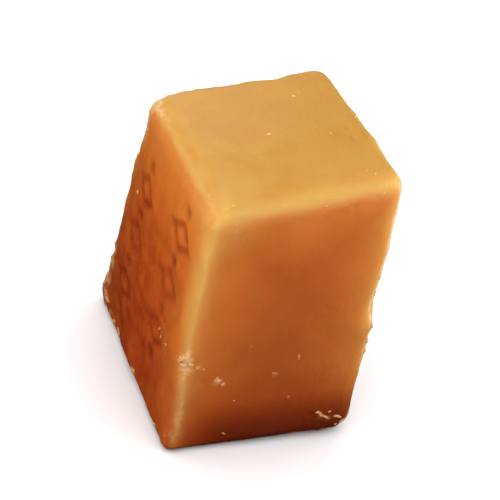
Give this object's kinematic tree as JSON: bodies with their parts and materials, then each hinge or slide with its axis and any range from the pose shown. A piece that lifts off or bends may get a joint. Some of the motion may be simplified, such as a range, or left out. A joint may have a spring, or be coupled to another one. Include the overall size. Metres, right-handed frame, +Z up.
{
  "type": "fudge cube",
  "caption": "Bite-size block of butter fudge, one solid piece, standing on its small end, with a pressed row pattern on one side.",
  "frame": {"origin": "middle of the bounding box at the foot, on the surface that the block stands on", "axes": "+Z up along the block's longest side, +Y from the plain front face to the back, +X to the right, away from the printed side"},
  "size_m": [0.0184, 0.0206, 0.0269],
  "materials": {
    "fudge": "satin butter fudge, light caramel tan, slightly translucent"
  },
  "bodies": {
    "root": {"fudge_block": "fudge"}
  },
  "joints": []
}
